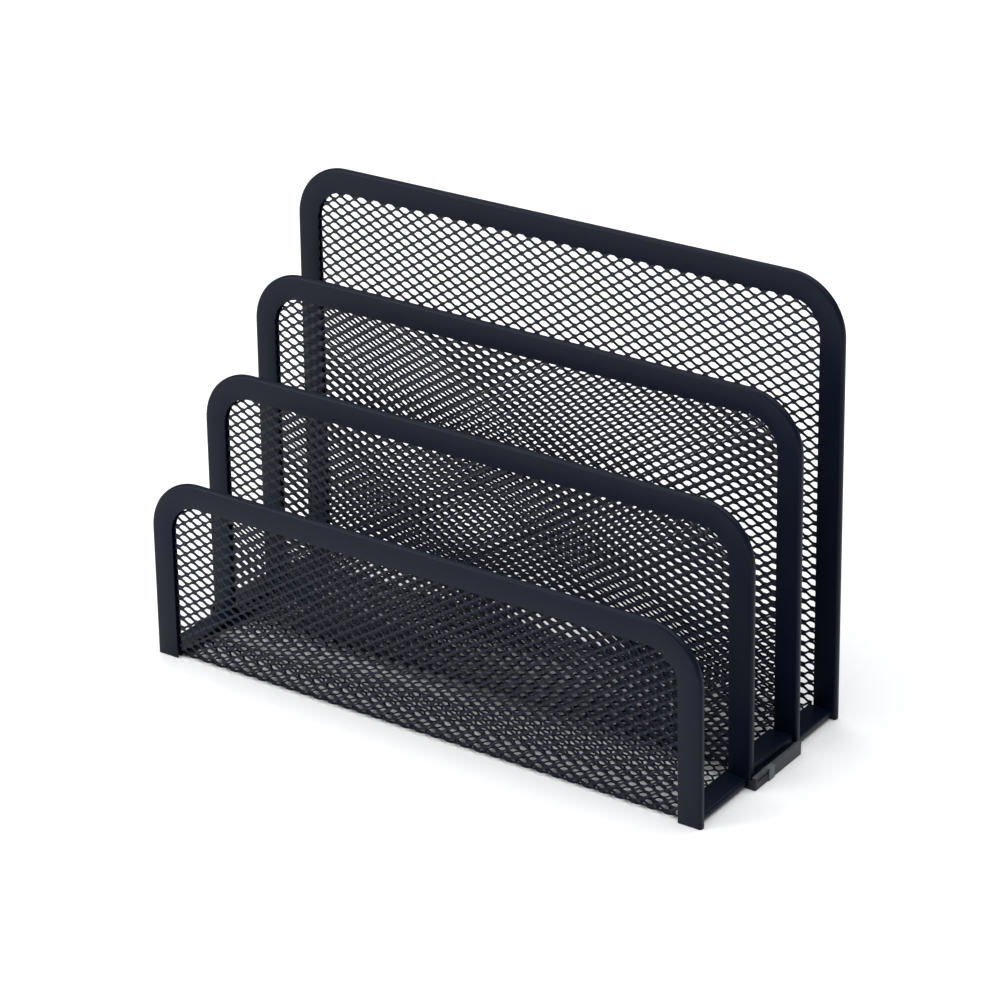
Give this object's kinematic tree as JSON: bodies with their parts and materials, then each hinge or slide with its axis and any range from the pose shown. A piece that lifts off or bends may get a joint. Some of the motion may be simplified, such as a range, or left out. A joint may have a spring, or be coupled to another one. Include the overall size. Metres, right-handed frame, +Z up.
{
  "type": "letter sorter",
  "caption": "Desk letter sorter: stepped expanded-metal panels in folded steel rims, joined by a mesh floor on side rails with plastic clip feet.",
  "frame": {"origin": "on the surface that it stands on, under the middle of the whole object", "axes": "+X across the panels to the right as seen from the short panel's side, +Y from the shortest panel to the tallest, +Z up"},
  "size_m": [0.1838, 0.0722, 0.1275],
  "materials": {
    "strip_paint": "satin blue-black powder coat on folded steel strip",
    "mesh_paint": "satin blue-black powder coat on expanded metal",
    "foot_plastic": "moulded dark grey plastic"
  },
  "bodies": {
    "root": {"front_rim": "strip_paint", "second_rim": "strip_paint", "third_rim": "strip_paint", "back_rim": "strip_paint", "left_outer_rail": "strip_paint", "right_outer_rail": "strip_paint", "left_inner_rail": "strip_paint", "right_inner_rail": "strip_paint", "outer_mesh": "mesh_paint", "inner_mesh": "mesh_paint", "left_foot": "foot_plastic", "right_foot": "foot_plastic"}
  },
  "joints": []
}
